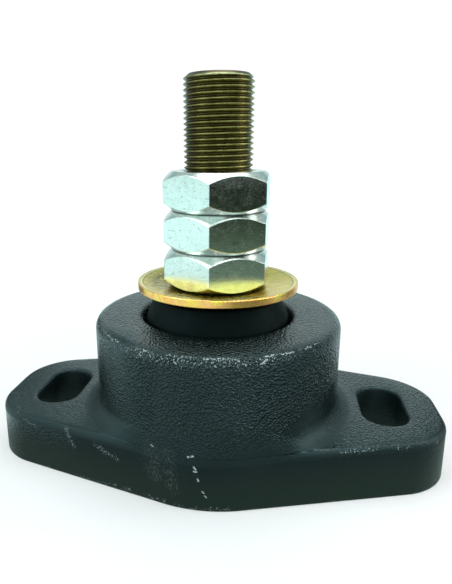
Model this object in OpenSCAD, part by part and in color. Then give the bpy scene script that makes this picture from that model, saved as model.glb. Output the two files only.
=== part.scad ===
// Rubber and metal anti-vibration mount with a threaded stud, in millimetres
// The stud's axis is Z, the underside of the base is at z = 0, the base is long in X

/* [Base plate] */
// length of the base over its rounded ends
base_length = 130.5; // [127:0.5:135]
// thickness of the plate at its ends
base_thickness = 15; // [13.5:0.1:16]
// width of the base at each end
end_width = 43.5; // [41:0.5:45]
// radius of the corners at each end
end_corner_r = 16.5; // [14:0.5:18]
// rounding of the plate's upper edge
plate_edge_r = 1.8; // [1.2:0.1:2.4]
// how much the plate's sides lean in towards the top
plate_draft = 0.2; // [0.1:0.1:0.6]

/* [Base slots] */
// distance between the middles of the two slots
slot_spacing = 98; // [96:0.5:100]
// end to end length of a slot, across the base
slot_length = 23.4; // [21:0.2:25]
// width of a slot
slot_width = 12.6; // [11:0.2:13.6]

/* [Boss] */
// diameter of the round boss at its upper edge
boss_top_d = 70.8; // [69.6:0.2:72]
// diameter of the round boss at the underside of the base
boss_foot_d = 71; // [71:0.2:74]
// height of the boss above the underside
boss_height = 42; // [41:0.1:43]
// rounding of the boss's upper edge
boss_edge_r = 2.7; // [2:0.1:4]
// fillet between the boss and the plate
boss_fillet_r = 5; // [3.5:0.5:6]
// diameter of the opening in the boss's top
opening_d = 43.6; // [43:0.1:45]
// rounding of the opening's upper edge
opening_edge_r = 1.4; // [0.8:0.1:2]
// thickness of the lip round the opening
lip_thickness = 6; // [5:0.5:6.5]

/* [Outer sleeve] */
// outer diameter of the sleeve pressed into the boss
sleeve_d = 58; // [57:0.5:60]
// wall of the sleeve
sleeve_wall = 2; // [1.6:0.1:2.4]
// diameter of the sleeve's foot flange
sleeve_flange_d = 63; // [62.5:0.5:64.5]
// thickness of the sleeve's foot flange
sleeve_flange_t = 3; // [2.4:0.1:3.6]

/* [Rubber] */
// gap between the rubber neck and the opening
neck_gap = 1.1; // [0.7:0.1:1.4]
// diameter of the rubber under the dished washer
rubber_top_d = 36.6; // [35.5:0.1:38]
// gap between the rubber and the dished washer
rubber_top_gap = 0.5; // [0.3:0.1:0.8]
// free height under the lip for the rubber's upward travel
rubber_shoulder_gap = 4; // [3.5:0.1:5]
// height at which the rubber begins on the sleeve's wall
rubber_foot_z = 8; // [7:0.5:10]
// free height between the rubber's underside and the snubbing washer
rubber_under_gap = 4.2; // [3.8:0.1:5]
// thickness of the rubber on the sleeve's wall, beside the snubbing washer
rubber_wall_t = 3.2; // [2.6:0.1:4]
// thickness of the rubber at its foot on the sleeve's wall
rubber_foot_t = 1.5; // [1:0.1:2]
// how far the rubber on the wall swells out, below the snubbing washer's top
rubber_swell_drop = 1; // [0.5:0.1:2]
// rounding of the rubber's upper edge
rubber_edge_r = 1; // [0.6:0.1:1.4]
// chamfer between the rubber's neck and its shoulder
rubber_shoulder_c = 1.2; // [0.8:0.1:1.6]
// depth below the boss's top at which the rubber's cone begins
cone_drop = 0.6; // [0.3:0.1:1.2]

/* [Core and washers] */
// outer diameter of the center sleeve
core_d = 26; // [24:0.5:28]
// diameter of the snubbing washer
snubber_d = 38; // [36:0.5:40]
// thickness of the snubbing washer
snubber_t = 3; // [2.5:0.1:3.5]
// height of the flat upper face of the dished washer
dish_flat_z = 50.4; // [50:0.1:51]
// outer diameter of the dished washer
dish_d = 46; // [45:0.2:47]
// diameter of the dished washer's flat middle
dish_flat_d = 31; // [30:0.5:33]
// sheet thickness of the dished washer
dish_t = 2.2; // [1.8:0.1:2.6]
// rise of the dished washer from its middle to its rim
dish_rise = 1.5; // [1:0.1:1.8]
// rounding of the dished washer's rim
dish_edge_r = 0.3; // [0.1:0.1:0.6]

/* [Stud and nuts] */
// diameter of the stud over its thread
stud_d = 19.05; // [19:0.01:19.1]
// height of the stud's upper end above the underside
stud_top_z = 107.2; // [104:0.1:109]
// height of the chamfer at the stud's upper end
stud_chamfer_h = 1.2; // [1:0.1:1.8]
// diameter of the flat upper end of the stud
stud_end_d = 16.2; // [14:0.1:17]
// distance between two crests of the thread
thread_pitch = 1.42; // [1.35:0.01:1.6]
// depth of the thread's grooves
thread_depth = 0.85; // [0.6:0.05:1]
// height at which the thread begins, inside the dished washer's bore
thread_foot_z = 49; // [48.5:0.1:49.5]
// height of the stud's head above the underside
head_z = 4.5; // [4:0.1:5]
// height of the stud's hexagon head
head_h = 11.9; // [11.6:0.1:12.2]
// width of the head across its flats
head_flats = 28.5; // [27.6:0.1:28.6]
// width of a nut across its flats
nut_flats = 27.8; // [27.4:0.1:28.6]
// height of each nut
nut_h = 10.7; // [10.4:0.1:10.8]
// slope of the chamfer at the nuts' and the head's corners, in degrees
nut_chamfer_slope = 41; // [30:1:45]
// diameter of a nut's flat face inside its chamfer
nut_face_d = 26.1; // [25.6:0.1:27]
// turn of the nuts about the stud, in degrees
nut_turn = -2; // [-5:1:5]

/* [Clearances] */
// gap on each side between the stud and the parts clamped on it
clamp_gap = 0.1; // [0.05:0.05:0.15]
// gap on each side between the stud and the nuts
nut_gap = 0.05; // [0.04:0.01:0.08]

/* [Hidden] */
$fn = 96;
cut = 1;
end_x = base_length / 2 - end_corner_r;
end_y = end_width / 2 - end_corner_r;
lip_z = boss_height - lip_thickness;
plate_top_r = boss_foot_d / 2 - plate_draft;
boss_top_r = boss_top_d / 2;
boss_foot_r = boss_foot_d / 2;
opening_r = opening_d / 2;
bore_r = sleeve_d / 2;
sleeve_bore_r = bore_r - sleeve_wall;
neck_r = opening_r - neck_gap;
rubber_top_r = rubber_top_d / 2;
dish_under_z = dish_flat_z - dish_t;
rubber_top_z = dish_under_z - rubber_top_gap;
shoulder_z = lip_z - rubber_shoulder_gap;
head_top_z = head_z + head_h;
snubber_top_z = head_top_z + snubber_t;
core_r = core_d / 2;
stud_r = stud_d / 2;
clamp_bore_r = stud_r + clamp_gap;
nut_bore_r = stud_r + nut_gap;
nut_bore_mouth_r = nut_bore_r + 0.9;
nut_corner_r = nut_flats / 2 / cos(30);
head_corner_r = head_flats / 2 / cos(30);
nut_face_r = nut_face_d / 2;
nut_drop = (nut_corner_r + 0.3 - nut_face_r) * tan(nut_chamfer_slope);
head_face_r = head_flats / 2 * 0.95;
head_drop = (head_corner_r + 0.3 - head_face_r) * tan(nut_chamfer_slope - 11);
thread_root_r = stud_r - thread_depth;
thread_top_z = stud_top_z - stud_chamfer_h;
thread_turns = floor((thread_top_z - thread_foot_z) / thread_pitch);
thread_start_z = thread_top_z - thread_turns * thread_pitch;
slot_end = (slot_length - slot_width) / 2;
fade_foot = plate_edge_r * 0.9;
fade_lean = 4.4;

module slot_cut(x) {
  translate([x, 0, -cut])
    linear_extrude(base_thickness + 2 * cut + boss_fillet_r)
      union() {
        translate([0, slot_end]) circle(r = slot_width / 2);
        translate([0, -slot_end]) circle(r = slot_width / 2);
        square([slot_width, 2 * slot_end], center = true);
      }
}

// one corner of the plate, leaning in and rounded at its upper edge
module plate_corner(x, y, r) {
  translate([x, y, 0])
    cylinder(h = base_thickness - plate_edge_r, r1 = r, r2 = r - plate_draft);
  for (a = [15 : 15 : 90])
    translate([x, y, base_thickness - plate_edge_r - 0.1 + plate_edge_r * sin(a)])
      cylinder(h = 0.1, r = r - plate_draft - plate_edge_r * (1 - cos(a)));
}

module plate() {
  hull() {
    plate_corner(0, 0, boss_foot_r);
    for (sx = [-1, 1])
      for (sy = [-1, 1])
        plate_corner(sx * end_x, sy * end_y, end_corner_r);
  }
}

// a block over the plate with sides that lean in, so that the boss's fillet fades out at the edge
module limit_corner(x, y, r) {
  translate([x, y, base_thickness - fade_foot])
    cylinder(h = boss_fillet_r + fade_foot + 0.2, r1 = r, r2 = r - fade_lean);
}

module plate_limit() {
  hull() {
    limit_corner(0, 0, plate_top_r - 0.05);
    for (sx = [-1, 1])
      for (sy = [-1, 1])
        limit_corner(sx * end_x, sy * end_y, end_corner_r - plate_draft - 0.05);
  }
}

module boss() {
  rotate_extrude() {
    polygon([[0, 0], [boss_foot_r, 0], [boss_top_r, boss_height - boss_edge_r],
      [boss_top_r - boss_edge_r, boss_height - boss_edge_r],
      [boss_top_r - boss_edge_r, boss_height], [0, boss_height]]);
    translate([boss_top_r - boss_edge_r, boss_height - boss_edge_r])
      circle(r = boss_edge_r);
  }
}

module boss_fillet() {
  foot_r = boss_top_r - 0.6;
  reach = boss_foot_r + boss_fillet_r;
  intersection() {
    plate_limit();
    rotate_extrude() difference() {
      translate([foot_r, base_thickness - fade_foot])
        square([reach - foot_r, boss_fillet_r + fade_foot]);
      translate([reach, base_thickness + boss_fillet_r])
        circle(r = boss_fillet_r);
    }
  }
}

module housing() {
  color([0.06, 0.065, 0.07])
    difference() {
      union() {
        plate();
        boss();
        boss_fillet();
      }
      translate([0, 0, -cut])
        cylinder(h = lip_z + cut, r = bore_r);
      translate([0, 0, -cut])
        cylinder(h = sleeve_flange_t + cut, r = sleeve_flange_d / 2);
      translate([0, 0, lip_z - cut])
        cylinder(h = lip_thickness + 2 * cut, r = opening_r);
      translate([0, 0, boss_height])
        rotate_extrude() difference() {
          translate([opening_r - 0.5, -opening_edge_r])
            square([opening_edge_r + 0.5, opening_edge_r + cut]);
          translate([opening_r + opening_edge_r, -opening_edge_r])
            circle(r = opening_edge_r);
        }
      slot_cut(-slot_spacing / 2);
      slot_cut(slot_spacing / 2);
    }
}

module outer_sleeve() {
  color([0.45, 0.46, 0.48])
    difference() {
      union() {
        cylinder(h = lip_z, r = bore_r);
        cylinder(h = sleeve_flange_t, r = sleeve_flange_d / 2);
      }
      translate([0, 0, -cut])
        cylinder(h = lip_z + 2 * cut, r = sleeve_bore_r);
    }
}

module rubber_isolator() {
  under_z = snubber_top_z + rubber_under_gap;
  edge_r = rubber_top_r - rubber_edge_r;
  edge_z = rubber_top_z - rubber_edge_r;
  color([0.09, 0.09, 0.095])
    rotate_extrude() {
      polygon([
        [core_r, under_z],
        [snubber_d / 2, under_z],
        [sleeve_bore_r - rubber_wall_t, snubber_top_z - rubber_swell_drop],
        [sleeve_bore_r - rubber_foot_t, rubber_foot_z],
        [sleeve_bore_r, rubber_foot_z],
        [sleeve_bore_r, shoulder_z],
        [neck_r + rubber_shoulder_c, shoulder_z],
        [neck_r, shoulder_z + rubber_shoulder_c],
        [neck_r, boss_height - cone_drop],
        [rubber_top_r, edge_z],
        [edge_r, rubber_top_z],
        [core_r, rubber_top_z]
      ]);
      translate([edge_r, edge_z])
        circle(r = rubber_edge_r);
    }
}

module center_sleeve() {
  color([0.5, 0.5, 0.52])
    translate([0, 0, snubber_top_z])
      difference() {
        cylinder(h = dish_under_z - snubber_top_z, r = core_r);
        translate([0, 0, -cut])
          cylinder(h = dish_under_z - snubber_top_z + 2 * cut, r = clamp_bore_r);
      }
}

module snubbing_washer() {
  color([0.6, 0.6, 0.62])
    translate([0, 0, head_top_z])
      difference() {
        rotate_extrude() {
          square([snubber_d / 2 - 0.8, snubber_t]);
          translate([0, 0.8])
            square([snubber_d / 2, snubber_t - 1.6]);
          translate([snubber_d / 2 - 0.8, 0.8])
            circle(r = 0.8);
          translate([snubber_d / 2 - 0.8, snubber_t - 0.8])
            circle(r = 0.8);
        }
        translate([0, 0, -cut])
          cylinder(h = snubber_t + 2 * cut, r = clamp_bore_r);
      }
}

// the thread as a row of rings, one for each turn, with its crests at the stud's full diameter
module thread() {
  rings = [for (i = [0 : thread_turns - 1])
    [[stud_r, thread_start_z + i * thread_pitch],
      [thread_root_r, thread_start_z + (i + 0.5) * thread_pitch]]];
  flanks = [for (ring = rings) for (point = ring) point];
  rotate_extrude()
    polygon(concat(
      [[0, head_top_z - 0.5], [stud_r, head_top_z - 0.5]],
      flanks,
      [[stud_r, thread_top_z], [stud_end_d / 2, stud_top_z], [0, stud_top_z]]
    ));
}

module stud() {
  color([0.62, 0.58, 0.38]) {
    thread();
    intersection() {
      translate([0, 0, head_z])
        rotate([0, 0, nut_turn - 90])
          cylinder(h = head_h, r = head_corner_r, $fn = 6);
      translate([0, 0, head_z])
        rotate_extrude()
          polygon([[0, 0], [head_face_r, 0], [head_corner_r + 0.3, head_drop],
            [head_corner_r + 0.3, head_h], [0, head_h]]);
    }
  }
}

module dished_washer() {
  rim_r = dish_d / 2;
  flat_r = dish_flat_d / 2;
  color([0.86, 0.68, 0.2])
    difference() {
      rotate_extrude() {
        polygon([
          [0, dish_under_z],
          [flat_r, dish_under_z],
          [rim_r - dish_edge_r, dish_under_z + dish_rise],
          [rim_r, dish_under_z + dish_rise + dish_edge_r],
          [rim_r, dish_flat_z + dish_rise - dish_edge_r],
          [rim_r - dish_edge_r, dish_flat_z + dish_rise],
          [flat_r, dish_flat_z],
          [0, dish_flat_z]
        ]);
        for (z = [dish_under_z + dish_rise + dish_edge_r, dish_flat_z + dish_rise - dish_edge_r])
          translate([rim_r - dish_edge_r, z])
            circle(r = dish_edge_r);
      }
      translate([0, 0, dish_under_z - cut])
        cylinder(h = dish_t + 2 * cut, r = clamp_bore_r);
    }
}

// a hexagon nut with its lower face at the given height
module nut(z) {
  wide_r = nut_corner_r + 0.3;
  translate([0, 0, z])
    difference() {
      intersection() {
        rotate([0, 0, nut_turn - 90])
          cylinder(h = nut_h, r = nut_corner_r, $fn = 6);
        rotate_extrude()
          polygon([[0, 0], [nut_face_r, 0], [wide_r, nut_drop],
            [wide_r, nut_h - nut_drop], [nut_face_r, nut_h], [0, nut_h]]);
      }
      translate([0, 0, -cut])
        cylinder(h = nut_h + 2 * cut, r = nut_bore_r);
      translate([0, 0, -0.01])
        cylinder(h = 0.9, r1 = nut_bore_mouth_r, r2 = nut_bore_r - 0.01);
      translate([0, 0, nut_h - 0.89])
        cylinder(h = 0.9, r1 = nut_bore_r - 0.01, r2 = nut_bore_mouth_r);
    }
}

module clamp_nut() {
  color([0.72, 0.74, 0.72]) nut(dish_flat_z);
}

module lower_adjusting_nut() {
  color([0.72, 0.74, 0.72]) nut(dish_flat_z + nut_h);
}

module upper_lock_nut() {
  color([0.72, 0.74, 0.72]) nut(dish_flat_z + 2 * nut_h);
}

housing();
outer_sleeve();
rubber_isolator();
center_sleeve();
snubbing_washer();
stud();
dished_washer();
clamp_nut();
lower_adjusting_nut();
upper_lock_nut();
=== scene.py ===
# Rubber and metal anti-vibration mount: the looks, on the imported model's frame
# Sizes of the object are in millimetres and turned to metres where a mesh is made
import math
import bmesh
import bpy
import numpy as np
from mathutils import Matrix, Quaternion, Vector


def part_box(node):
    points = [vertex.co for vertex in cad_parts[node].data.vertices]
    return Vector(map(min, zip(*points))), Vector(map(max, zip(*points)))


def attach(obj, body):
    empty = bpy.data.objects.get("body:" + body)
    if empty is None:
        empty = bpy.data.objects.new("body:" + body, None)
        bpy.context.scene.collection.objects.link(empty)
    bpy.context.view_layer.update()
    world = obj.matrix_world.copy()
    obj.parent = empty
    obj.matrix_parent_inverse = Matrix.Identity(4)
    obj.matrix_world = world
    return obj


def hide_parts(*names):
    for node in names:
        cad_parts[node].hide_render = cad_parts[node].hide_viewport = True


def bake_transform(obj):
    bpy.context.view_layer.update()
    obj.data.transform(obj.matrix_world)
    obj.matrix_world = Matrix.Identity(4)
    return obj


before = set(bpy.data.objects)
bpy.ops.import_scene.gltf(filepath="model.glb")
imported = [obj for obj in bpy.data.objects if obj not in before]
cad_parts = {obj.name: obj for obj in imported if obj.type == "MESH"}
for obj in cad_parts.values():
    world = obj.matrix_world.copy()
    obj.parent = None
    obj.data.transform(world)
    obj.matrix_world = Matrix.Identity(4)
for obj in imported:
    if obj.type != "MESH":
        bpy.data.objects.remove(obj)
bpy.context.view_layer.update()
scene = bpy.context.scene
scene.view_settings.view_transform = "Standard"
MM = 0.001

# Camera, as fitted to the photograph: angles in degrees, places in mm, focal length in pixels
VIEW = dict(yaw=8.775, rise=15.678, roll=-0.26, distance=156.563, aim_x=-6.394, aim_z=47.914,
            focal_px=536.263, middle_x=195.68, middle_y=291.69)
PICTURE = (452, 584)
SENSOR = 36

# Sizes of the solids, as in the part's source
STUD = dict(d=19.05, top=107.2, end_d=16.2, chamfer=1.2, pitch=1.42)
HOUSING = dict(half=65.25, t=15.0, end_half=21.75, corner=16.5, foot_r=35.5, top_r=35.4,
               height=42.0, opening=21.8, lip=6.0, bore=29.0, flange=31.5, flange_t=3.0,
               edge=1.8, boss_edge=2.7, opening_edge=1.4, fillet=5.0, draft=0.2)
SLOT = dict(x=49.0, length=23.4, width=12.6)
SLOT_RUN = (SLOT["length"] - SLOT["width"]) / 2

# Roundings that the solids don't have: on the slots' rims, round the foot and on hidden corners
SLOT_EDGE = 1.0
FOOT_EDGE = 0.35
HIDDEN_EDGE = 0.05

# How finely the round forms are cut: columns round an axis, steps round a corner
HOUSING_COLUMNS = 480
RUBBER_COLUMNS = 192
THREAD_COLUMNS = 96
SLOT_COLUMNS = 64
FLOOR_CORNERS = 64
CORNER_STEPS = 6
# Length of the gaps into which a straight run is cut, and the most gaps in one of the housing's
HOUSING_RUN, HOUSING_GAPS = 6, 6
RUBBER_RUN = 1.2


def aim(obj, target, roll=0.0):
    """Turns a camera, lamp or card towards a point."""
    way = Vector(target) - obj.location
    turn = way.to_track_quat("-Z", "Y") @ Quaternion((0, 0, 1), math.radians(roll))
    obj.rotation_euler = turn.to_euler()


def set_up_camera():
    """Stands the camera where the photograph was taken from."""
    yaw, rise = math.radians(VIEW["yaw"]), math.radians(VIEW["rise"])
    back = (math.sin(yaw) * math.cos(rise), -math.cos(yaw) * math.cos(rise), math.sin(rise))
    target = (VIEW["aim_x"] * math.cos(yaw), VIEW["aim_x"] * math.sin(yaw), VIEW["aim_z"])
    cam = bpy.data.objects.new("camera", bpy.data.cameras.new("camera"))
    scene.collection.objects.link(cam)
    cam.location = [(t + b * VIEW["distance"]) * MM for t, b in zip(target, back)]
    aim(cam, [t * MM for t in target], VIEW["roll"])
    cam.data.sensor_width = SENSOR
    cam.data.lens = VIEW["focal_px"] * SENSOR / PICTURE[1]
    cam.data.shift_x = (PICTURE[0] / 2 - VIEW["middle_x"]) / PICTURE[1]
    cam.data.shift_y = (VIEW["middle_y"] - PICTURE[1] / 2) / PICTURE[1]
    cam.data.clip_start = 0.005
    cam.data.clip_end = 10
    scene.camera = cam


# Node trees, in short words

class Nodes:
    """A node tree, and what is put into it."""

    def __init__(self, tree):
        self.tree = tree

    def new(self, kind, **settings):
        """A node with its own settings, such as its operation."""
        node = self.tree.nodes.new(kind)
        for key, value in settings.items():
            setattr(node, key, value)
        return node

    def feed(self, socket, value):
        """Links an input to an output, or gives it a plain value."""
        if isinstance(value, bpy.types.NodeSocket):
            self.tree.links.new(value, socket)
        else:
            socket.default_value = value

    def give(self, node, key, value):
        """Feeds the input of this name, which is written with underscores."""
        words = key.replace("_", " ")
        for socket in node.inputs:
            names = (socket.name.lower(), socket.identifier.lower().replace("_", " "))
            if socket.enabled and words in names:
                self.feed(socket, value)
                return
        raise KeyError(f"{node.bl_idname} has no input {words}")

    def put(self, kind, **values):
        """A node with its inputs fed by name; a shader node's kind is written in short."""
        node = self.tree.nodes.new(kind if "Node" in kind else "ShaderNode" + kind)
        for key, value in values.items():
            self.give(node, key, value)
        return node

    def step(self, kind, *values, out=0, **settings):
        """One output of a node whose inputs are fed in their order."""
        node = self.new("ShaderNode" + kind, **settings)
        for socket, value in zip(node.inputs, values):
            self.feed(socket, value)
        return node.outputs[out]

    def calc(self, way, a, b=0.0, clamp=False):
        return self.step("Math", a, b, operation=way, use_clamp=clamp)

    def chain(self, way, first, *others):
        for other in others:
            first = self.calc(way, first, other)
        return first

    def times(self, *values):
        return self.chain("MULTIPLY", *values)

    def plus(self, *values):
        return self.chain("ADD", *values)

    def less(self, a, b):
        return self.calc("SUBTRACT", a, b)

    def over(self, a, b, clamp=False):
        return self.calc("DIVIDE", a, b, clamp)

    def most(self, *values):
        return self.chain("MAXIMUM", *values)

    def least(self, *values):
        return self.chain("MINIMUM", *values)

    def diagonal(self, a, b):
        return self.calc("SQRT", self.plus(self.times(a, a), self.times(b, b)))

    def parts(self, place):
        """The three shares of a place."""
        node = self.tree.nodes.new("ShaderNodeSeparateXYZ")
        self.feed(node.inputs[0], place)
        return tuple(node.outputs)

    def vector(self, way, *values, out=0):
        return self.step("VectorMath", *values, out=out, operation=way)

    def scaled(self, place, factor):
        node = self.new("ShaderNodeVectorMath", operation="SCALE")
        self.feed(node.inputs[0], place)
        self.feed(node.inputs["Scale"], factor)
        return node.outputs[0]

    def ramp(self, fac, *stops):
        node = self.tree.nodes.new("ShaderNodeValToRGB")
        self.feed(node.inputs[0], fac)
        points = node.color_ramp.elements
        while len(points) < len(stops):
            points.new(0.5)
        for point, (at, colour) in zip(points, stops):
            point.position = at
            point.color = (*colour, 1)
        return node.outputs["Color"]

    def span(self, value, low, high, out_low=0.0, out_high=1.0, smooth=False):
        """The value's share of the way from low to high, which may lie the other way round."""
        node = self.new("ShaderNodeMapRange",
                        interpolation_type="SMOOTHSTEP" if smooth else "LINEAR")
        for name, v in (("Value", value), ("From Min", low), ("From Max", high),
                        ("To Min", out_low), ("To Max", out_high)):
            self.feed(node.inputs[name], v)
        return node.outputs["Result"]

    def mix(self, share, a, b):
        """Colour a, turned to colour b by a share."""
        node = self.new("ShaderNodeMix", data_type="RGBA")
        for number, value in ((0, share), (6, a), (7, b)):
            self.feed(node.inputs[number], (*value, 1) if isinstance(value, tuple) else value)
        return node.outputs[2]

    def seen(self):
        """1 for the camera's rays and mirrored ones, 0 for those that light the object."""
        path = self.put("LightPath").outputs
        return self.most(path["Is Camera Ray"], path["Is Glossy Ray"], path["Is Transmission Ray"])


class Recipe(Nodes):
    """A material's node tree with one shader."""

    def __init__(self, name):
        self.material = bpy.data.materials.new(name)
        self.material.use_nodes = True
        super().__init__(self.material.node_tree)
        self.shader = self.tree.nodes["Principled BSDF"]

    def millimetres(self):
        """The place on the object, in millimetres."""
        return self.scaled(self.put("TexCoord").outputs["Object"], 1000)

    def stretched(self, place, factors):
        return self.vector("MULTIPLY", place, factors)

    def wobbled(self, place, scale, reach):
        """The same place pushed about by noise, which makes ragged outlines."""
        push = self.put("TexNoise", vector=place, scale=scale, detail=2.0)
        pushed = self.vector("MULTIPLY_ADD", push.outputs["Color"], (reach,) * 3, place)
        return self.vector("SUBTRACT", pushed, (reach / 2,) * 3)

    def noise(self, place, scale, detail=3.0, roughness=0.5, warp=0.0):
        node = self.put("TexNoise", vector=place, scale=scale, detail=detail,
                        roughness=roughness, distortion=warp)
        return node.outputs["Fac"]

    def cells(self, place, scale, smoothness=0.35):
        """Rounded cells, 0 in the middle of each and higher towards its border."""
        node = self.new("ShaderNodeTexVoronoi", feature="SMOOTH_F1")
        for name, value in (("Vector", place), ("Scale", scale), ("Smoothness", smoothness)):
            self.feed(node.inputs[name], value)
        return node.outputs["Distance"]

    def near(self, place, strokes):
        """How near a place is to any stroke, each given by two ends and a reach, all in mm."""
        shares = []
        for start, end, reach in strokes:
            start, end = Vector(start), Vector(end)
            run = end - start
            offset = self.vector("SUBTRACT", place, start)
            dot = self.vector("DOT_PRODUCT", offset, run, out=1)
            along = self.over(dot, run.length_squared, clamp=True)
            away = self.vector("SUBTRACT", offset, self.scaled(run, along))
            shares.append(self.span(self.vector("LENGTH", away, out=1), reach, 0.0))
        return self.most(*shares)

    def crevice(self, reach_mm, dark, clear):
        """1 in the open, falling to 0 deep in a narrow gap."""
        node = self.put("AmbientOcclusion", distance=reach_mm * MM)
        node.samples = 8
        return self.span(node.outputs["AO"], dark, clear)

    def soft_edge(self, radius_mm):
        """The normal with sharp edges rounded off."""
        node = self.new("ShaderNodeBevel", samples=4)
        self.feed(node.inputs["Radius"], radius_mm * MM)
        return node.outputs["Normal"]

    def bump(self, height, strength, depth_mm, normal=None):
        node = self.put("Bump", height=height, strength=strength, distance=depth_mm * MM)
        if normal is not None:
            self.feed(node.inputs["Normal"], normal)
        return node.outputs["Normal"]

    def finish(self, **values):
        """Feeds the shader, and gives the material."""
        for key, value in values.items():
            self.give(self.shader, key, value)
        return self.material

    def show(self, shader):
        """Puts another shader on the surface, and gives the material."""
        self.feed(self.tree.nodes["Material Output"].inputs["Surface"], shader)
        return self.material


# Black casting paint

PAINT = dict(dark=(0.0030, 0.0066, 0.0062), light=(0.0050, 0.0104, 0.0098),
             low=(0.0110, 0.0200, 0.0095), dust=(0.20, 0.25, 0.24), chip=(0.55, 0.64, 0.64),
             tint=(0.66, 0.94, 1.0, 1))
# The worn ring of the boss's rim lies this far in from its side and its top
RIM_INSET = 0.8
# Strokes along which the paint is speckled through, each as two ends and a reach
EDGE_WEAR = [
    ((-58, -15, 14.6), (-54.5, -20, 14.2), 0.9),
    ((-53, -21, 13.6), (-49.5, -21.9, 12.6), 0.8),
    ((-38.8, -25.2, 14.2), (-36.8, -25.9, 9.6), 1.5),
    ((-30, -27.9, 11.8), (-23.2, -30, 9.4), 1.3),
    ((-36, -26.3, 0.6), (-26, -29.3, 0.9), 0.7),
    ((-24.2, -29.8, 1.1), (-19.5, -31.2, 1.1), 0.9),
    ((-15.5, -32.5, 1.1), (-9.5, -34.2, 1.2), 0.7),
    ((-6.5, -34.9, 0.8), (7, -35, 0.9), 0.9),
    ((34.6, -26.3, 14.3), (44.6, -23.4, 14.3), 0.8),
    ((48.5, -22.3, 14.3), (60.5, -16.6, 13.6), 0.7),
    ((-29.5, -17.5, 40.2), (-24, -24.8, 40.6), 1.0),
    ((-33.5, -9, 40.5), (-30.5, -15.8, 40.8), 0.9),
]
# Strokes where the paint is scratched through to bare metal
SCRATCHES = [
    ((-3.1, -35.3, 15.2), (-1.9, -35.4, 15.6), 0.42),
    ((-1.8, -35.4, 12.6), (-1.3, -35.4, 12.0), 0.4),
    ((-1.7, -35.4, 11.3), (-0.9, -35.4, 11.3), 0.3),
    ((-0.8, -35.5, 9.3), (-0.5, -35.5, 8.7), 0.28),
    ((0.4, -35.5, 5.9), (0.8, -35.5, 5.3), 0.25),
    ((1.0, -35.4, 4.6), (1.5, -35.4, 4.2), 0.28),
    ((-12.9, -32.9, 16.3), (-12.2, -33.1, 16.0), 0.3),
    ((14.2, -32.3, 39.9), (15.4, -31.6, 40.6), 0.4),
    ((-6.1, -34.7, 39.9), (-5.8, -34.7, 39.7), 0.35),
    ((3.4, -35.1, 39.8), (3.7, -35.1, 39.6), 0.3),
]
# Fine cracks in the paint beside the opening
CRACKS = [
    ((-20.8, -15.4, 42), (-18.5, -18.6, 42), 0.4),
    ((-18.2, -19.6, 42), (-16.6, -21.2, 42), 0.35),
    ((-23.4, -9.5, 42), (-22.6, -12.5, 42), 0.35),
]
# Where the paint ran smooth: on the boss's left front and above the fillet on the right
SMOOTH = [((-26, -24, 16), (-26, -24, 38), 17), ((26, -24, 18), (32, -14, 26), 11)]
# Upright smears of pale dust on the front
DUST = [
    ((-13.3, -32.8, 16), (-12.0, -33.2, 8), 3.2),
    ((-8.5, -34.3, 15), (-7.5, -34.6, 6), 2.8),
]


def chipped(r, mm):
    """Where the paint is rubbed and chipped through, from 0 to 1."""
    x, y, z = r.parts(mm)
    speckle = r.noise(mm, 2.3, 2, 0.75)
    stretches = r.noise(mm, 0.16, 2)
    # the boss's rim in front
    across = r.less(r.diagonal(x, y), HOUSING["top_r"] - RIM_INSET)
    up = r.less(z, HOUSING["height"] - RIM_INSET)
    rim = r.times(r.span(r.diagonal(across, up), 0.5, 0.1, 0.0, 0.8), r.span(y, -14, -26),
                  r.span(stretches, 0.36, 0.56))
    # the crumbled band just below it
    band = r.times(r.span(z, 37, 40.6), r.span(z, 41.4, 40.8), r.span(y, -22, -32), 0.36)
    foot = r.times(r.span(z, 0.8, 0.2), r.span(stretches, 0.5, 0.62))
    edges = r.times(r.near(r.wobbled(mm, 0.7, 1.4), EDGE_WEAR), 0.58)
    worn = r.most(r.most(rim, edges), r.most(band, r.times(foot, 0.6)))
    # more of the speckle comes through where it is worn most, fainter below the rim
    chips = r.span(r.plus(speckle, r.times(worn, 0.15)), 0.635, 0.67)
    chips = r.times(chips, r.span(worn, 0.1, 0.3), r.span(z, 30, 38, 0.5, 1.0))
    marks = r.span(r.near(r.wobbled(mm, 2.2, 0.6), SCRATCHES), 0.2, 0.45)
    return r.most(chips, r.times(marks, r.span(speckle, 0.38, 0.5)))


def leathery(r, mm):
    """The normal of orange peel in small cells, calmer where the paint ran smooth."""
    z = r.parts(mm)[2]
    peel = r.cells(r.wobbled(r.stretched(mm, (1, 1, 1.2)), 1.3, 0.5), 1.6)
    height = r.plus(r.times(r.noise(mm, 1.4, 2, 0.6), 0.6), r.times(peel, 0.85))
    height = r.less(height, r.times(r.near(mm, CRACKS), 1.2))
    # weak on the plate's sides, a little weaker on the boss's top
    calm = r.times(r.span(r.near(mm, SMOOTH), 0.0, 0.7, 1.0, 0.25, smooth=True),
                   r.span(z, HOUSING["t"], 25, 0.25, 1.0), r.span(z, 41, 41.8, 1.0, 0.6))
    return r.bump(height, calm, 0.88, r.soft_edge(0.4))


def dulled(r, mm):
    """More roughness on the plate's rounded edge, on the fillet and on the slots' walls."""
    z = r.parts(mm)[2]
    off_top = r.span(r.calc("ABSOLUTE", r.less(z, HOUSING["t"])), 0.05, 0.3)
    edge = r.times(r.span(z, 12.4, 13.4), r.span(z, 20, 18), off_top)
    flat = r.vector("MULTIPLY", mm, (1, 1, 0))
    strokes = [((x, -SLOT_RUN, 0), (x, SLOT_RUN, 0), 7.0) for x in (-SLOT["x"], SLOT["x"])]
    slots = r.span(r.near(flat, strokes), 0.05, 0.09)
    return r.most(r.times(edge, 0.34), r.times(slots, 0.3))


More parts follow.
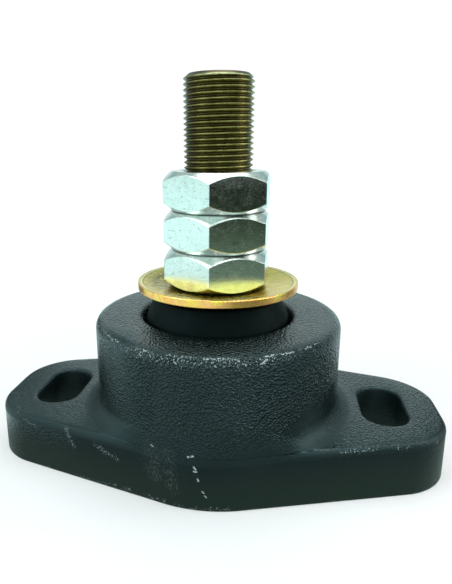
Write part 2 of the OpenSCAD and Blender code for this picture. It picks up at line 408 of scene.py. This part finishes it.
def casting_paint():
    r = Recipe("black_casting_paint")
    mm = r.millimetres()
    patches = r.noise(mm, 0.06, 2, 0.5)
    paint = r.ramp(patches, (0.35, PAINT["dark"]), (0.7, PAINT["light"]))
    # slightly greener low down on the sides
    low = r.span(r.parts(mm)[2], 13.5, 3, smooth=True)
    paint = r.mix(r.times(low, 0.8), paint, PAINT["low"])
    crumbs = r.noise(r.stretched(mm, (1, 1, 0.55)), 3.2, 3, 0.75)
    smear = r.times(r.near(r.wobbled(mm, 0.3, 3), DUST), r.span(crumbs, 0.52, 0.62))
    paint = r.mix(r.times(smear, 0.5), paint, PAINT["dust"])
    chips = chipped(r, mm)
    rough = r.plus(r.span(patches, 0.3, 0.7, 0.12, 0.18), r.times(chips, 0.3), dulled(r, mm))
    return r.finish(base_color=r.mix(chips, paint, PAINT["chip"]), roughness=rough,
                    normal=leathery(r, mm), metallic=0.0, specular_ior_level=0.5,
                    specular_tint=PAINT["tint"])


# Rubber

RUBBER = dict(dark=(0.0018, 0.0034, 0.0031), light=(0.0032, 0.0054, 0.0050),
              tint=(0.62, 0.92, 0.95, 1))


def moulded_rubber():
    r = Recipe("moulded_rubber")
    mm = r.millimetres()
    colour = r.ramp(r.noise(mm, 0.12, 3), (0.35, RUBBER["dark"]), (0.7, RUBBER["light"]))
    rough = r.span(r.noise(mm, 0.3, 3), 0.3, 0.7, 0.5, 0.62)
    normal = r.bump(r.noise(mm, 1.6, 3), 0.2, 0.08)
    return r.finish(base_color=colour, roughness=rough, normal=normal, metallic=0.0,
                    specular_ior_level=0.08, specular_tint=RUBBER["tint"])


# Yellow zinc of the washer, whose rim is rosier than its face

# Round the nut the face is stained and darkened by painted shade and reflection of the nut; on the
# rim lie a painted highlight and a line of painted shade
GOLD = dict(face=((0.72, 0.54, 0.10), (0.90, 0.66, 0.155), (0.80, 0.52, 0.11)),
            rim=((0.98, 0.63, 0.11), (0.97, 0.44, 0.16), (0.97, 0.70, 0.14)),
            stain_and_nut_shade=(0.17, 0.11, 0.025), painted_rim_highlight=(0.95, 0.90, 0.55), painted_rim_shade=(0.25, 0.17, 0.04))


def yellow_zinc():
    r = Recipe("yellow_zinc")
    mm = r.millimetres()
    x, y = r.parts(mm)[:2]
    radius = r.diagonal(x, y)
    drift = r.noise(mm, 0.11, 3, 0.6, 1.2)
    face = r.ramp(drift, *zip((0.32, 0.5, 0.66), GOLD["face"]))
    rim = r.ramp(drift, *zip((0.38, 0.52, 0.64), GOLD["rim"]))
    colour = r.mix(r.span(radius, 22.4, 22.85), face, rim)
    # browner and mottled round the nut, most of all on the left, partly stained and partly painted
    # shade and reflection of the nut
    stain_and_nut_shade = r.span(r.noise(mm, 0.9, 4, 0.75), 0.34, 0.56)
    inner = r.times(r.span(radius, 22.2, 18.5), r.span(x, -1, -10, 0.12, 1.0),
                    r.span(y, -14, -5, 0.4, 1.0))
    colour = r.mix(r.times(stain_and_nut_shade, inner, 0.95), colour, GOLD["stain_and_nut_shade"])
    # painted highlight along the rim's top just inside its edge, with a line of painted shade
    # within it
    painted_rim_highlight = r.times(r.span(radius, 21.75, 21.95), r.span(radius, 22.4, 22.2), 0.85)
    colour = r.mix(painted_rim_highlight, colour, GOLD["painted_rim_highlight"])
    painted_rim_shade = r.times(r.span(radius, 21.2, 21.4), r.span(radius, 21.75, 21.6), 0.6)
    colour = r.mix(painted_rim_shade, colour, GOLD["painted_rim_shade"])
    rough = r.span(r.noise(mm, 0.8, 4), 0.3, 0.7, 0.22, 0.36)
    normal = r.bump(r.noise(mm, 2.5, 3), 0.12, 0.05, r.soft_edge(0.15))
    return r.finish(base_color=colour, roughness=rough, normal=normal, metallic=1.0)


# Bright zinc of the nuts and of the washer under the stud's core

ZINC = dict(dark=(0.61, 0.65, 0.61), light=(0.72, 0.73, 0.68), mark=(0.26, 0.32, 0.28),
            pit=(0.07, 0.08, 0.06), score=(0.16, 0.20, 0.18), dirt_and_shade=(0.05, 0.07, 0.065))


def bright_zinc():
    r = Recipe("bright_zinc")
    mm = r.millimetres()
    clouds = r.noise(mm, 0.35, 4, 0.65)
    colour = r.ramp(clouds, (0.3, ZINC["dark"]), (0.7, ZINC["light"]))
    marks = r.span(r.noise(mm, 1.6, 5, 0.8, 1.0), 0.52, 0.66)
    colour = r.mix(r.times(marks, 0.28), colour, ZINC["mark"])
    pits = r.span(r.noise(r.wobbled(mm, 1.0, 0.6), 2.0, 2, 0.6), 0.655, 0.69)
    colour = r.mix(r.times(pits, 0.85), colour, ZINC["pit"])
    level = r.stretched(r.wobbled(mm, 0.12, 5), (0.35, 0.35, 3.2))
    scores = r.span(r.noise(level, 1.1, 2, 0.6), 0.64, 0.68)
    colour = r.mix(r.times(scores, 0.4), colour, ZINC["score"])
    # darker in the gaps between the nuts and along their feet: soiling, and painted shade
    colour = r.mix(r.crevice(1.2, 0.38, 0.68), ZINC["dirt_and_shade"], colour)
    scuffs = r.span(r.noise(r.wobbled(mm, 0.5, 1.5), 4.0, 3, 0.8), 0.56, 0.66)
    rough = r.plus(r.span(clouds, 0.3, 0.7, 0.10, 0.16), r.times(scuffs, 0.14))
    normal = r.bump(r.noise(mm, 2.2, 5, 0.75), 0.45, 0.08, r.soft_edge(0.35))
    return r.finish(base_color=colour, roughness=rough, normal=normal, metallic=1.0)


# Olive zinc of the stud

# The crest and end colours are painted highlights, and the colours for the left side and for the
# thread's roots are painted shade
OLIVE = dict(clouds=((0.16, 0.15, 0.038), (0.27, 0.25, 0.080), (0.20, 0.145, 0.042)),
             crest=(0.34, 0.32, 0.14), end=(0.47, 0.48, 0.26), grime=(0.055, 0.036, 0.012),
             left=(0.085, 0.05, 0.018), valley_shade=(0.035, 0.022, 0.008))


def stud_zinc():
    r = Recipe("stud_zinc")
    mm = r.millimetres()
    x, y, z = r.parts(mm)
    radius = r.diagonal(x, y)
    clouds = r.noise(mm, 0.25, 4, 0.6)
    colour = r.ramp(clouds, *zip((0.3, 0.55, 0.75), OLIVE["clouds"]))
    # painted highlights on the crests and on the end face
    crest = r.times(r.span(radius, 9.3, 9.5), r.span(r.noise(mm, 0.35, 3, 0.6), 0.38, 0.6), 0.6)
    colour = r.mix(crest, colour, OLIVE["crest"])
    colour = r.mix(r.times(r.span(z, 105.9, 106.3), 0.8), colour, OLIVE["end"])
    grime = r.span(r.noise(r.stretched(mm, (0.6, 0.6, 2.2)), 0.9, 4, 0.7), 0.48, 0.62)
    colour = r.mix(r.times(grime, 0.5), colour, OLIVE["grime"])
    # darker and browner on the left, painted shade on that side
    colour = r.mix(r.span(x, 1, -6, 0.0, 0.55), colour, OLIVE["left"])
    # painted shade in the thread's valleys, but not on the plain shank and head
    valley_shade = r.times(r.span(radius, 9.2, 8.7), r.less(1.0, r.span(z, 49, 47)), 0.9)
    colour = r.mix(valley_shade, colour, OLIVE["valley_shade"])
    rough = r.span(clouds, 0.3, 0.7, 0.28, 0.40)
    normal = r.bump(r.noise(mm, 2.0, 3), 0.3, 0.05)
    return r.finish(base_color=colour, roughness=rough, normal=normal, metallic=1.0)


# Plain steel of the two hidden sleeves

STEEL = dict(dark=(0.20, 0.20, 0.21), light=(0.33, 0.33, 0.34))


def plain_steel():
    r = Recipe("plain_steel")
    mm = r.millimetres()
    clouds = r.noise(mm, 0.3, 4, 0.6)
    colour = r.ramp(clouds, (0.3, STEEL["dark"]), (0.7, STEEL["light"]))
    rough = r.span(clouds, 0.3, 0.7, 0.38, 0.5)
    normal = r.bump(r.noise(mm, 2.0, 3), 0.15, 0.05)
    return r.finish(base_color=colour, roughness=rough, normal=normal, metallic=1.0)


# Meshes of closed rings

# How far a corner's bend is pulled back from the corner, so that it lies within a hair of the arc
BEND_PULL = 0.07138


def new_mesh(name, verts, faces):
    mesh = bpy.data.meshes.new(name)
    mesh.from_pydata(verts, [], faces)
    return mesh


def only_material(mesh, material):
    mesh.materials.clear()
    mesh.materials.append(material)


def add_piece(name, mesh, material):
    """An object at the origin, with its mesh and its one material."""
    piece = bpy.data.objects.new(name, mesh)
    scene.collection.objects.link(piece)
    only_material(mesh, material)
    return piece


def applied(piece):
    """Turns a piece with modifiers into one plain mesh."""
    graph = bpy.context.evaluated_depsgraph_get()
    made = bpy.data.meshes.new_from_object(piece.evaluated_get(graph))
    piece.modifiers.clear()
    piece.data = made


def rounded(points, radii):
    """A path through the points, with each corner between its ends rounded."""
    path = [points[0]]
    for i in range(1, len(points) - 1):
        corner, before, after = (np.array(points[j], float) for j in (i, i - 1, i + 1))
        back, on = before - corner, after - corner
        back, on = (v / (np.linalg.norm(v) + 1e-9) for v in (back, on))
        half = math.acos(max(-1, min(1, float(back @ on)))) / 2
        cut = radii[i] / max(math.tan(half), 1e-6)
        start, stop = corner + back * cut, corner + on * cut
        pull = corner + (start + stop - 2 * corner) * BEND_PULL
        for k in range(CORNER_STEPS + 1):
            t = k / CORNER_STEPS
            bend = (1 - t) ** 2 * start + 2 * t * (1 - t) * pull + t ** 2 * stop
            path.append(tuple(bend))
    path.append(points[-1])
    return path


def spread(path, gaps):
    """Adds points on the long straight runs of a closed path."""
    out = []
    for i, p in enumerate(path):
        q = path[(i + 1) % len(path)]
        for k in range(gaps[i]):
            s = k / gaps[i]
            out.append((p[0] + (q[0] - p[0]) * s, p[1] + (q[1] - p[1]) * s))
    return out


def ring_mesh(name, sections, angles):
    """A closed skin through sections, given as (radius, height) lists in mm, one for each angle."""
    verts = [(r * math.cos(a) * MM, r * math.sin(a) * MM, z * MM)
             for a, line in zip(angles, sections) for r, z in line]
    rows, columns = len(sections[0]), len(angles)
    faces = []
    for c in range(columns):
        d = (c + 1) % columns
        for k in range(rows):
            m = (k + 1) % rows
            faces.append((c * rows + k, d * rows + k, d * rows + m, c * rows + m))
    mesh = new_mesh(name, verts, faces)
    mesh.shade_smooth()
    return mesh


# Housing, as one closed skin of sections through the stud's axis

# Directions in which the plate's outline is measured
OUTLINE_TURNS = 2880
# The narrowest ledge, how much wider than its roundings it is before it turns into a slope,
# and how far above the fillet that slope ends
LEDGE_LEAST, LEDGE_SPARE, SLOPE_RISE = 0.002, 0.2, 1.2
# How far the bar that cuts a slot stands out below the plate and above it
CUTTER_BELOW, CUTTER_ABOVE = 3, 8


def plate_reach(angles):
    """How far the plate's outline, a hull of discs, reaches from the axis in each direction."""
    h = HOUSING
    discs = [(0.0, 0.0, h["foot_r"])]
    discs += [(sx * (h["half"] - h["corner"]), sy * (h["end_half"] - h["corner"]), h["corner"])
              for sx in (-1, 1) for sy in (-1, 1)]
    # a hull's reach along a ray is bounded by its tangent lines
    turns = np.linspace(0, 2 * np.pi, OUTLINE_TURNS, endpoint=False)
    support = np.max([x * np.cos(turns) + y * np.sin(turns) + r for x, y, r in discs], axis=0)
    reach = []
    for a in angles:
        facing = np.cos(turns - a)
        ahead = facing > 0.05
        reach.append(np.min(support[ahead] / facing[ahead]))
    return np.array(reach)


def boss_radius(height):
    h = HOUSING
    return h["foot_r"] + (h["top_r"] - h["foot_r"]) * height / h["height"]


def section(reach):
    """The housing's section in one direction, as a closed loop of (radius, height)."""
    h = HOUSING
    top_reach = max(reach - h["draft"], boss_radius(h["t"]) + LEDGE_LEAST)
    width = top_reach - boss_radius(h["t"])
    # where the plate runs into the boss, its ledge turns into one soft slope
    fade = 1 - min(1.0, width / (h["edge"] + h["fillet"] + LEDGE_SPARE))
    ledge = h["t"] - h["edge"] * fade
    foot = h["t"] + h["fillet"] * SLOPE_RISE * fade
    lip = h["height"] - h["lip"]
    loop = [
        ((h["flange"], 0.0), 0),
        ((max(reach, h["foot_r"]), 0.0), FOOT_EDGE),
        ((top_reach, ledge), h["edge"]),
        ((boss_radius(foot), foot), h["fillet"]),
        ((h["top_r"], h["height"]), h["boss_edge"]),
        ((h["opening"], h["height"]), h["opening_edge"]),
        ((h["opening"], lip), HIDDEN_EDGE),
        ((h["bore"], lip), HIDDEN_EDGE),
        ((h["bore"], h["flange_t"]), HIDDEN_EDGE),
        ((h["flange"], h["flange_t"]), HIDDEN_EDGE),
        ((h["flange"], 0.0), 0),
    ]
    return rounded(*zip(*loop))[:-1]


def slot_cutter():
    """An upright rounded bar that flares at both ends, so that the slot's rims come out rounded."""
    top, edge = HOUSING["t"], SLOT_EDGE
    # levels as height and how much the bar has grown there
    levels = [(-CUTTER_BELOW, FOOT_EDGE), (0, FOOT_EDGE), (FOOT_EDGE, 0)]
    for k in range(CORNER_STEPS + 1):
        a = math.pi / 2 * k / CORNER_STEPS
        levels.append((top - edge + edge * math.sin(a), edge * (1 - math.cos(a))))
    levels.append((top + CUTTER_ABOVE, edge))
    n = SLOT_COLUMNS
    turn = [math.pi * 2 * (k + 0.5) / n for k in range(n)]
    verts, faces = [], []
    for z, grown in levels:
        r = SLOT["width"] / 2 + grown
        for a in turn:
            y = r * math.sin(a) + (SLOT_RUN if math.sin(a) > 0 else -SLOT_RUN)
            verts.append((r * math.cos(a) * MM, y * MM, z * MM))
    for j in range(len(levels) - 1):
        for k in range(n):
            m = (k + 1) % n
            faces.append((j * n + k, j * n + m, (j + 1) * n + m, (j + 1) * n + k))
    faces.append(tuple(reversed(range(n))))
    faces.append(tuple(range((len(levels) - 1) * n, len(levels) * n)))
    return new_mesh("slot_cutter", verts, faces)


def make_housing(material):
    angles = np.linspace(0, 2 * np.pi, HOUSING_COLUMNS, endpoint=False)
    lines = [section(v) for v in plate_reach(angles)]
    # every section takes the same count of points, set by the longest run between two of them
    gaps = []
    for i in range(len(lines[0])):
        far = max(math.dist(line[i], line[(i + 1) % len(line)]) for line in lines)
        gaps.append(max(1, min(HOUSING_GAPS, int(far / HOUSING_RUN) + 1)))
    lines = [spread(line, gaps) for line in lines]
    mesh = ring_mesh("housing_casting", lines, angles)
    housing = add_piece("housing_casting", mesh, material)
    cutter = bpy.data.objects.new("slot_cutter", slot_cutter())
    scene.collection.objects.link(cutter)
    for side in (-1, 1):
        cutter.location.x = side * SLOT["x"] * MM
        bpy.context.view_layer.update()
        cut = housing.modifiers.new("slot", "BOOLEAN")
        cut.operation = "DIFFERENCE"
        cut.object = cutter
        cut.solver = "EXACT"
        applied(housing)
    bpy.data.objects.remove(cutter)
    housing.data.shade_smooth()
    only_material(housing.data, material)
    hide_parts("housing")
    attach(housing, "mount_base")
    return housing


# Rubber cone, a closed ring between the base and the core

# Corners of its section as (radius, height), each with its rounding, up to below its top
CONE = [((13.0, 23.6), 0), ((19.0, 23.6), 1.0), ((23.8, 18.4), 1.2), ((25.5, 8.0), 0.4),
        ((27.0, 8.0), 0.4), ((27.0, 32.0), 1.0), ((20.7, 32.0), 1.0), ((20.7, 41.2), 2.0)]


def make_rubber(material):
    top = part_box("rubber_isolator")[1][2] / MM
    path = rounded(*zip(*CONE, ((18.1, top), 0.9), ((13.0, top), 0)))
    gaps = [max(1, int(math.dist(p, path[(i + 1) % len(path)]) / RUBBER_RUN))
            for i, p in enumerate(path)]
    path = spread(path, gaps)
    angles = np.linspace(0, 2 * np.pi, RUBBER_COLUMNS, endpoint=False)
    mesh = ring_mesh("rubber_cone", [path] * len(angles), angles)
    piece = add_piece("rubber_cone", mesh, material)
    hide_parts("rubber_isolator")
    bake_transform(piece)


# Thread, made by a node tree from its diameter, pitch and ends

# Height where it begins and depth of its grooves, a little lower and deeper than on the solid
THREAD_FOOT, THREAD_DEPTH = 48.45, 0.88
ROWS_PER_PITCH = 8
# Shares of half a pitch that the flat root and the flank take; the crest has the rest
ROOT_SHARE, FLANK_SHARE = 0.12, 0.8
# Points nearer to each other than this, in metres, become one
WELD = 0.000002
# Edges of the stud that turn more than this stay crisp, except on the thread
CRISP = math.radians(50)


def thread_tree(material):
    tree = bpy.data.node_groups.new("thread", "GeometryNodeTree")
    sizes = ("Crest radius", "Root radius", "Pitch", "Foot", "Top", "End radius", "Chamfer")
    counts = ("Columns", "Rows")
    for names, kind in ((sizes, "NodeSocketFloat"), (counts, "NodeSocketInt")):
        for name in names:
            tree.interface.new_socket(name=name, in_out="INPUT", socket_type=kind)
    tree.interface.new_socket(name="Geometry", in_out="OUTPUT", socket_type="NodeSocketGeometry")
    n = Nodes(tree)
    given = n.new("NodeGroupInput").outputs
    crest, root, pitch, foot, top, end, chamfer = (given[name] for name in sizes)
    columns, rows = (given[name] for name in counts)

    # a flat grid, whose columns go round the stud and whose rows climb it
    grid = n.put("GeometryNodeMeshGrid", size_x=1, size_y=1,
                 vertices_x=n.plus(columns, 1), vertices_y=n.plus(rows, 1))
    place = n.parts(n.new("GeometryNodeInputPosition").outputs[0])
    turn = n.plus(place[0], 0.5)
    row = n.calc("ROUND", n.times(n.plus(place[1], 0.5), rows))
    # a crest runs along a row, which climbs one pitch a turn
    rise = n.over(pitch, ROWS_PER_PITCH)
    z = n.plus(n.less(foot, pitch), n.plus(n.times(row, rise), n.times(turn, pitch)))
    z = n.most(n.least(z, top), foot)
    phase = n.calc("FRACT", n.over(n.plus(row, 0.01), ROWS_PER_PITCH))
    wave = n.calc("ABSOLUTE", n.less(n.times(phase, 2), 1))
    wave = n.over(n.less(wave, ROOT_SHARE), FLANK_SHARE, clamp=True)
    radius = n.plus(root, n.times(wave, n.less(crest, root)))
    # cut down to the chamfer at the top, and to the root at the foot
    slope = n.over(n.less(crest, end), chamfer)
    tip = n.plus(end, n.times(n.less(top, z), slope))
    heel = n.plus(root, n.less(z, foot))
    radius = n.least(radius, tip, heel)
    angle = n.times(turn, 2 * math.pi)
    spot = n.step("CombineXYZ", n.times(radius, n.calc("COSINE", angle)),
                  n.times(radius, n.calc("SINE", angle)), z)
    moved = n.put("GeometryNodeSetPosition", geometry=grid.outputs["Mesh"], position=spot)

    # a disc closes each end
    join = n.new("GeometryNodeJoinGeometry")
    for size, height in ((end, top), (root, foot)):
        disc = n.new("GeometryNodeMeshCircle", fill_type="NGON")
        n.give(disc, "vertices", columns)
        n.give(disc, "radius", size)
        lifted = n.put("GeometryNodeTransform", geometry=disc.outputs["Mesh"],
                       translation=n.step("CombineXYZ", 0, 0, height))
        n.give(join, "geometry", lifted.outputs["Geometry"])
    n.give(join, "geometry", moved.outputs["Geometry"])
    weld = n.put("GeometryNodeMergeByDistance", geometry=join.outputs["Geometry"], distance=WELD)
    real = n.put("GeometryNodeRealizeInstances", geometry=weld.outputs["Geometry"])
    done = n.put("GeometryNodeSetMaterial", geometry=real.outputs["Geometry"], material=material)
    n.give(n.new("NodeGroupOutput"), "geometry", done.outputs["Geometry"])
    return tree


def lower_stud(height):
    """The solid's head and plain shank, cut off where the thread begins and closed there."""
    body = bmesh.new()
    body.from_mesh(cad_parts["stud"].data)
    bmesh.ops.remove_doubles(body, verts=body.verts, dist=1e-6)
    everything = body.verts[:] + body.edges[:] + body.faces[:]
    cut = bmesh.ops.bisect_plane(body, geom=everything, plane_co=(0, 0, height),
                                 plane_no=(0, 0, 1), clear_outer=True)
    rim = [e for e in cut["geom_cut"] if isinstance(e, bmesh.types.BMEdge)]
    bmesh.ops.contextual_create(body, geom=rim)
    mesh = bpy.data.meshes.new("stud_lower")
    body.to_mesh(mesh)
    body.free()
    return mesh


def make_stud(material):
    s = STUD
    foot = THREAD_FOOT * MM
    rise = s["pitch"] / ROWS_PER_PITCH
    rows = math.ceil((s["top"] - THREAD_FOOT + s["pitch"]) / rise) + 1
    values = {"Crest radius": s["d"] / 2 * MM, "Root radius": (s["d"] / 2 - THREAD_DEPTH) * MM,
              "Pitch": s["pitch"] * MM, "Foot": foot, "Top": s["top"] * MM,
              "End radius": s["end_d"] / 2 * MM, "Chamfer": s["chamfer"] * MM,
              "Columns": THREAD_COLUMNS, "Rows": rows}
    piece = add_piece("threaded_stud", bpy.data.meshes.new("threaded_stud"), material)
    make = piece.modifiers.new("thread", "NODES")
    make.node_group = thread_tree(material)
    for socket in make.node_group.interface.items_tree:
        if socket.in_out == "INPUT":
            make[socket.identifier] = values[socket.name]
    applied(piece)
    whole = bmesh.new()
    whole.from_mesh(piece.data)
    whole.from_mesh(lower_stud(foot))
    bmesh.ops.recalc_face_normals(whole, faces=whole.faces)
    for face in whole.faces:
        face.material_index = 0
        face.smooth = True
    for edge in whole.edges:
        if len(edge.link_faces) == 2 and edge.calc_face_angle(0) > CRISP:
            on_thread = edge.verts[0].co.z > foot
            edge.smooth = on_thread and all(len(f.verts) <= 4 for f in edge.link_faces)
    whole.to_mesh(piece.data)
    whole.free()
    only_material(piece.data, material)
    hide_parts("stud")
    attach(piece, "stud_assembly")


# Studio: a pale floor, a white surround, soft lamps and cards; its sizes are in metres

WHITE = (1, 1, 1)
FLOOR_RADIUS = 3
# The floor lies just below the object, and the cards just above the floor
FLOOR_Z, CARD_Z = -0.0001, -0.00005
# The floor's glow grows from one strength to the other between these distances in mm
FLOOR_NEAR, FLOOR_FAR, GLOW_NEAR, GLOW_FAR = 120, 450, 0.43, 1.0
# Colours that metal and paint mirror, from the horizon up: a dimmer, cooler band in the middle
SURROUND = ((0.2, (0.84, 1, 1)), (0.31, (0.74, 1.0, 1.0)), (0.42, (0.22, 0.40, 0.42)),
            (0.56, (0.55, 0.70, 0.70)))
LAMP_AIM = (0, 0, 0.045)
# Lamps as place, size, power and colour
LAMPS = {
    "soft_box_left": ((-0.63, -0.4, 0.55), (0.5, 0.5), 4.2, (0.80, 1.0, 1.0)),
    "soft_box_right": ((0.5, -0.42, 0.5), (0.35, 0.35), 0.85, (0.68, 1.0, 0.97)),
    "soft_box_top": ((0.05, 0.1, 0.8), (0.6, 0.6), 3.6, (0.95, 1.0, 1.0)),
    "strip_right": ((0.6, 0.05, 0.3), (0.25, 0.5), 1.6, WHITE),
    "strip_front": ((0.2, -0.75, 0.22), (0.5, 0.08), 0.8, WHITE),
}
WIDE_LAMP = ((-0.7, -0.3, 0.6), (1.0, 1.0), 2.6, (0.80, 1.0, 1.0))
# Cards that lie on the floor, which the paint mirrors, as outline and shade
FLOOR_CARDS = {
    "dark_card_floor": (((-0.075, 0.01), (-0.075, -0.05), (-0.02, -0.075), (0.02, -0.19),
                         (0.2, -0.19), (0.2, 0.01)), (0.28, 0.36, 0.34)),
    "dark_card_back_left": (((-0.04, 0.03), (-0.085, 0.065), (-0.12, 0.05), (-0.12, 0.011),
                             (-0.05, 0.011)), (0.05, 0.08, 0.08)),
    "dark_card_back_right": (((0.035, 0.03), (0.058, 0.065), (0.09, 0.05), (0.1, 0.011),
                              (0.05, 0.011)), (0.05, 0.08, 0.08)),
}
# Cards that stand, as place, size, shade of foot and top, and what they face
STANDING_CARDS = {
    "dark_stand_left": ((-0.14, 0.1, 0.035), (0.12, 0.07), (0.03, 0.05, 0.05),
                        (0.5, 0.66, 0.66), (0, 0, 0.03)),
    "dark_stand_right": ((0.154, 0.072, 0.035), (0.2, 0.07), (0.03, 0.05, 0.05),
                         (0.03, 0.05, 0.05), (0, 0, 0.03)),
    "dark_card_right": ((0.152, -0.129, 0.025), (0.3, 0.13), (0.150, 0.235, 0.160),
                        (0.004, 0.007, 0.001), (0, 0, 0.025)),
}
# The part of a standing card's height over which its foot's shade turns to its top's
CARD_TURN = (0.51, 0.62)
# The share of its width inside which it is solid; from there its sides fade out
CARD_SOLID = 0.55


def make_floor():
    turns = np.linspace(0, 2 * np.pi, FLOOR_CORNERS, endpoint=False)
    ring = [(math.cos(a) * FLOOR_RADIUS, math.sin(a) * FLOOR_RADIUS, FLOOR_Z) for a in turns]
    r = Recipe("pale_floor")
    r.finish(base_color=(0.5, 0.5, 0.5, 1), roughness=0.9, specular_ior_level=0.1)
    # white in the picture, slightly cooler where the object mirrors it, and dimmer close to it
    colour = r.mix(r.put("LightPath").outputs["Is Camera Ray"], (0.55, 1.0, 1.0), WHITE)
    far = r.diagonal(*r.parts(r.millimetres())[:2])
    strength = r.span(far, FLOOR_NEAR, FLOOR_FAR, GLOW_NEAR, GLOW_FAR)
    glow = r.put("Emission", color=colour, strength=strength)
    plain = r.shader.outputs[0]
    lit = r.step("AddShader", plain, glow.outputs[0])
    material = r.show(r.step("MixShader", r.seen(), plain, lit))
    add_piece("floor", new_mesh("floor", ring, [tuple(range(len(ring)))]), material)


def make_surround():
    world = bpy.data.worlds.new("surround")
    scene.world = world
    world.use_nodes = True
    n = Nodes(world.node_tree)
    plain = n.tree.nodes["Background"]
    plain.inputs["Color"].default_value = (0.9, 0.95, 1.0, 1)
    plain.inputs["Strength"].default_value = 0.35
    mirrored = n.ramp(n.parts(n.put("TexCoord").outputs["Generated"])[2], *SURROUND)
    colour = n.mix(n.put("LightPath").outputs["Is Camera Ray"], mirrored, WHITE)
    bright = n.put("Background", color=colour)
    pick = n.step("MixShader", n.seen(), plain.outputs[0], bright.outputs[0])
    n.feed(n.tree.nodes["World Output"].inputs["Surface"], pick)


def add_lamp(name, place, size, power, colour):
    data = bpy.data.lights.new(name, "AREA")
    data.shape = "RECTANGLE"
    data.size, data.size_y = size
    data.energy = power
    data.color = colour
    lamp = bpy.data.objects.new(name, data)
    scene.collection.objects.link(lamp)
    lamp.location = place
    aim(lamp, LAMP_AIM)
    return lamp


def add_card(name, corners, material):
    """A card that only mirrored rays see."""
    card = add_piece(name, new_mesh(name, corners, [tuple(range(len(corners)))]), material)
    card.visible_camera = False
    card.visible_diffuse = False
    card.visible_shadow = False
    return card


def add_floor_card(name, outline, shade):
    r = Recipe(name)
    glow = r.put("Emission", color=(*shade, 1), strength=1.0)
    add_card(name, [(x, y, CARD_Z) for x, y in outline], r.show(glow.outputs[0]))


def add_standing_card(name, place, size, low, high, target):
    """A card with soft sides, of one shade at its foot and another at its top."""
    w, h = size[0] / 2, size[1] / 2
    r = Recipe(name)
    x, y = r.parts(r.millimetres())[:2]
    shade = r.ramp(r.span(y, -h / MM, h / MM), (CARD_TURN[0], low), (CARD_TURN[1], high))
    glow = r.put("Emission", color=shade, strength=1.0)
    inside = r.span(r.calc("ABSOLUTE", x), w / MM, w / MM * CARD_SOLID, smooth=True)
    clear = r.put("BsdfTransparent")
    material = r.show(r.step("MixShader", inside, clear.outputs[0], glow.outputs[0]))
    card = add_card(name, [(-w, -h, 0), (w, -h, 0), (w, h, 0), (-w, h, 0)], material)
    card.location = place
    aim(card, target)


def light_the_scene():
    make_floor()
    make_surround()
    for name, lamp in LAMPS.items():
        add_lamp(name, *lamp)
    for name, card in FLOOR_CARDS.items():
        add_floor_card(name, *card)
    for name, card in STANDING_CARDS.items():
        add_standing_card(name, *card)


def light_in_part(lamp, piece, state):
    """Keeps a lamp off one piece, or gives it to that piece alone."""
    group = bpy.data.collections.new(lamp.name + "_link")
    group.objects.link(piece)
    group.collection_objects[0].light_linking.link_state = state
    lamp.light_linking.receiver_collection = group


def light_the_casting(housing):
    """A wider lamp lights the paint instead of the side lamp, so that its edges stay dark."""
    light_in_part(bpy.data.objects["soft_box_left"], housing, "EXCLUDE")
    light_in_part(add_lamp("wide_box_left", *WIDE_LAMP), housing, "INCLUDE")


set_up_camera()
light_the_scene()
paint = casting_paint()
rubber = moulded_rubber()
gold = yellow_zinc()
zinc = bright_zinc()
olive = stud_zinc()
steel = plain_steel()

light_the_casting(make_housing(paint))
make_rubber(rubber)
make_stud(olive)

finishes = {"outer_sleeve": steel, "center_sleeve": steel, "snubbing_washer": zinc,
            "dished_washer": gold, "clamp_nut": zinc, "lower_adjusting_nut": zinc,
            "upper_lock_nut": zinc, "housing": paint, "rubber_isolator": rubber, "stud": olive}
for name, finish in finishes.items():
    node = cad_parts[name]
    if not node.material_slots:
        node.data.materials.append(finish)
    for place in node.material_slots:
        place.material = finish
